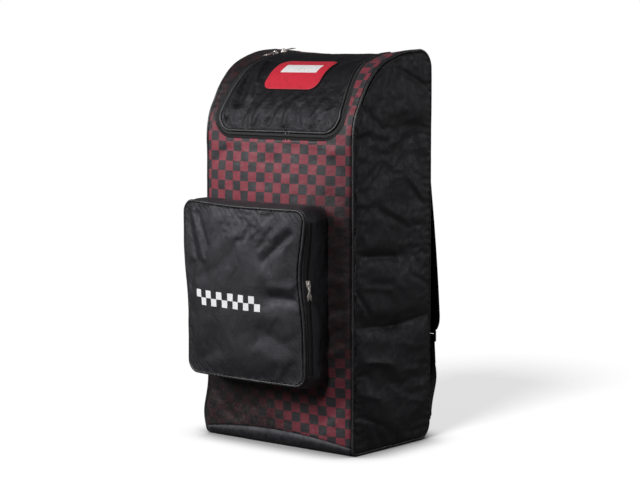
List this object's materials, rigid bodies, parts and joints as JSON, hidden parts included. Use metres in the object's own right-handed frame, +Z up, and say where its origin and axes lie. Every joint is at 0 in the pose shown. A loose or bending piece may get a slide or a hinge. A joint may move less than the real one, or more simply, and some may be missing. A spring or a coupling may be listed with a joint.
{
  "type": "cricket kit bag",
  "caption": "Tall standing kit bag with checked front, zipped D-shaped lid over a sloping top, square front pocket and padded shoulder straps.",
  "frame": {"origin": "middle of the flat underside that the bag stands on", "axes": "+Z up along the bag's height, -Y out of the checked front, +X to the right of someone who faces the front"},
  "size_m": [0.4131, 0.4563, 0.8058],
  "materials": {
    "checked_cloth": "printed coated polyester in dark red and grey checks, faded by a dark diagonal band",
    "black_cloth": "coated black polyester with a soft sheen",
    "lid_cloth": "creased black nylon with a silky sheen",
    "pocket_cloth": "creased black nylon with a silky sheen",
    "piping": "black coated piping with a glint along its crest",
    "zip_tape": "black woven zip tape with coil teeth",
    "patch_cloth": "red sewn patch with a plain white stripe",
    "nickel": "nickel-plated zinc",
    "strap_cloth": "padded black polyester",
    "webbing": "black ribbed webbing",
    "black_plastic": "moulded black plastic"
  },
  "bodies": {
    "root": {"front_panel": "checked_cloth", "base_panel": "black_cloth", "back_panel": "black_cloth", "side_panel_left": "black_cloth", "side_panel_right": "black_cloth", "side_piping_left": "piping", "side_piping_right": "piping", "lid_panel": "lid_cloth", "lid_zip_tape": "zip_tape", "lid_piping": "piping", "lid_patch": "patch_cloth", "lid_slider_front": "nickel", "lid_pull_front": "nickel", "lid_slider_rear": "nickel", "lid_pull_rear": "nickel", "pocket_gusset": "pocket_cloth", "pocket_face": "pocket_cloth", "pocket_piping": "piping", "pocket_zip_tape": "zip_tape", "pocket_slider": "nickel", "pocket_pull": "nickel", "shoulder_strap_left": "strap_cloth", "shoulder_strap_right": "strap_cloth", "strap_buckle_left": "black_plastic", "strap_buckle_right": "black_plastic", "strap_webbing_left": "webbing", "strap_webbing_right": "webbing", "strap_tab_left": "black_cloth", "strap_tab_right": "black_cloth"}
  },
  "joints": []
}
